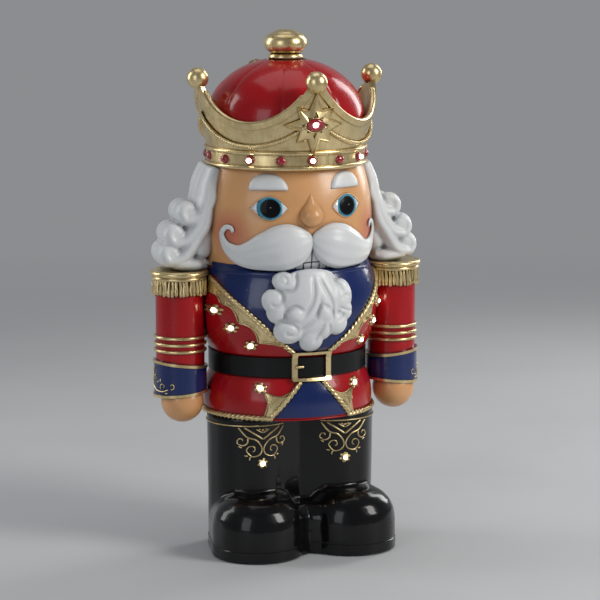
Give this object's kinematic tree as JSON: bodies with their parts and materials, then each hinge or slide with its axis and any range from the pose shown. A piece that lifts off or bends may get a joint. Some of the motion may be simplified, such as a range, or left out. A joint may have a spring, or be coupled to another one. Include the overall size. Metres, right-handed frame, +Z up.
{
  "type": "nutcracker figure",
  "caption": "Standing nutcracker king figure with crown, curled beard and hair, belted coat and boots, lit by small lamps, battery door and slide switch at the back.",
  "frame": {"origin": "on the floor under the crown's axis, at the underside of the felt pad", "axes": "+Z up, the figure faces -Y, +X is the figure's left hand"},
  "size_m": [0.336, 0.2414, 0.6112],
  "materials": {
    "red_paint": "deep candy red over cast resin, glossy lacquer",
    "gold_paint": "antique gold paint, satin, darker in the recesses",
    "navy_paint": "navy blue paint, glossy lacquer",
    "black_paint": "black paint, high gloss",
    "belt_paint": "soft black paint, satin",
    "white_paint": "cool white paint, satin",
    "tooth_paint": "white paint with thin dark lines",
    "eye_paint": "blue iris on white, gloss",
    "skin_paint": "peach skin paint, semi-gloss",
    "gem_resin": "clear red gloss",
    "led_lens": "clear warm white LED lens",
    "felt": "black felt",
    "black_plastic": "fine-textured black ABS",
    "steel": "nickel-plated spring steel",
    "cell_sleeve": "plain cell jacket",
    "board_laminate": "green solder mask"
  },
  "bodies": {
    "figure": {"back_screws": "steel", "base_pad": "felt", "battery_bezel": "black_plastic", "battery_cells": "cell_sleeve", "battery_tray": "black_plastic", "beard": "white_paint", "belt": "belt_paint", "boot_leds": "led_lens", "boot_piping": "gold_paint", "boots": "black_paint", "buckle_frame": "gold_paint", "buckle_prong": "gold_paint", "coat": "red_paint", "coat_leds": "led_lens", "contact_plates": "steel", "contact_springs": "steel", "crown": "gold_paint", "crown_cap": "red_paint", "crown_gems": "gem_resin", "crown_leds": "led_lens", "crown_star": "gold_paint", "cuff_left": "navy_paint", "cuff_piping": "gold_paint", "cuff_right": "navy_paint", "epaulette_left": "gold_paint", "epaulette_right": "gold_paint", "eye_left": "eye_paint", "eye_right": "eye_paint", "eyebrows": "white_paint", "finial": "gold_paint", "fringe_left": "gold_paint", "fringe_right": "gold_paint", "hair_back": "white_paint", "hair_left": "white_paint", "hair_right": "white_paint", "hand_left": "skin_paint", "hand_right": "skin_paint", "head": "skin_paint", "hem_rope": "gold_paint", "lapel_lace": "gold_paint", "lapel_rope_left": "gold_paint", "lapel_rope_right": "gold_paint", "led_collars": "gold_paint", "moustache": "white_paint", "skirt_lace": "gold_paint", "skirt_rope_left": "gold_paint", "skirt_rope_right": "gold_paint", "sleeve_left": "red_paint", "sleeve_right": "red_paint", "sleeve_rings": "gold_paint", "soles": "black_paint", "star_gem": "gem_resin", "switch_housing": "black_plastic", "teeth": "tooth_paint", "timer_board": "board_laminate", "vest": "navy_paint"},
    "battery_door": {"battery_door": "black_plastic"},
    "switch_slider": {"switch_slider": "black_plastic"}
  },
  "joints": [
    {"name": "battery_door_hinge", "type": "hinge", "parent": "figure", "child": "battery_door", "pos_m": [0, 0.09, 0.2562], "axis": [-1, 0, 0], "range_deg": [0, 100]},
    {"name": "switch_slide", "type": "slide", "parent": "figure", "child": "switch_slider", "axis": [1, 0, 0], "range_m": [-0.0025, 0.0025]}
  ]
}
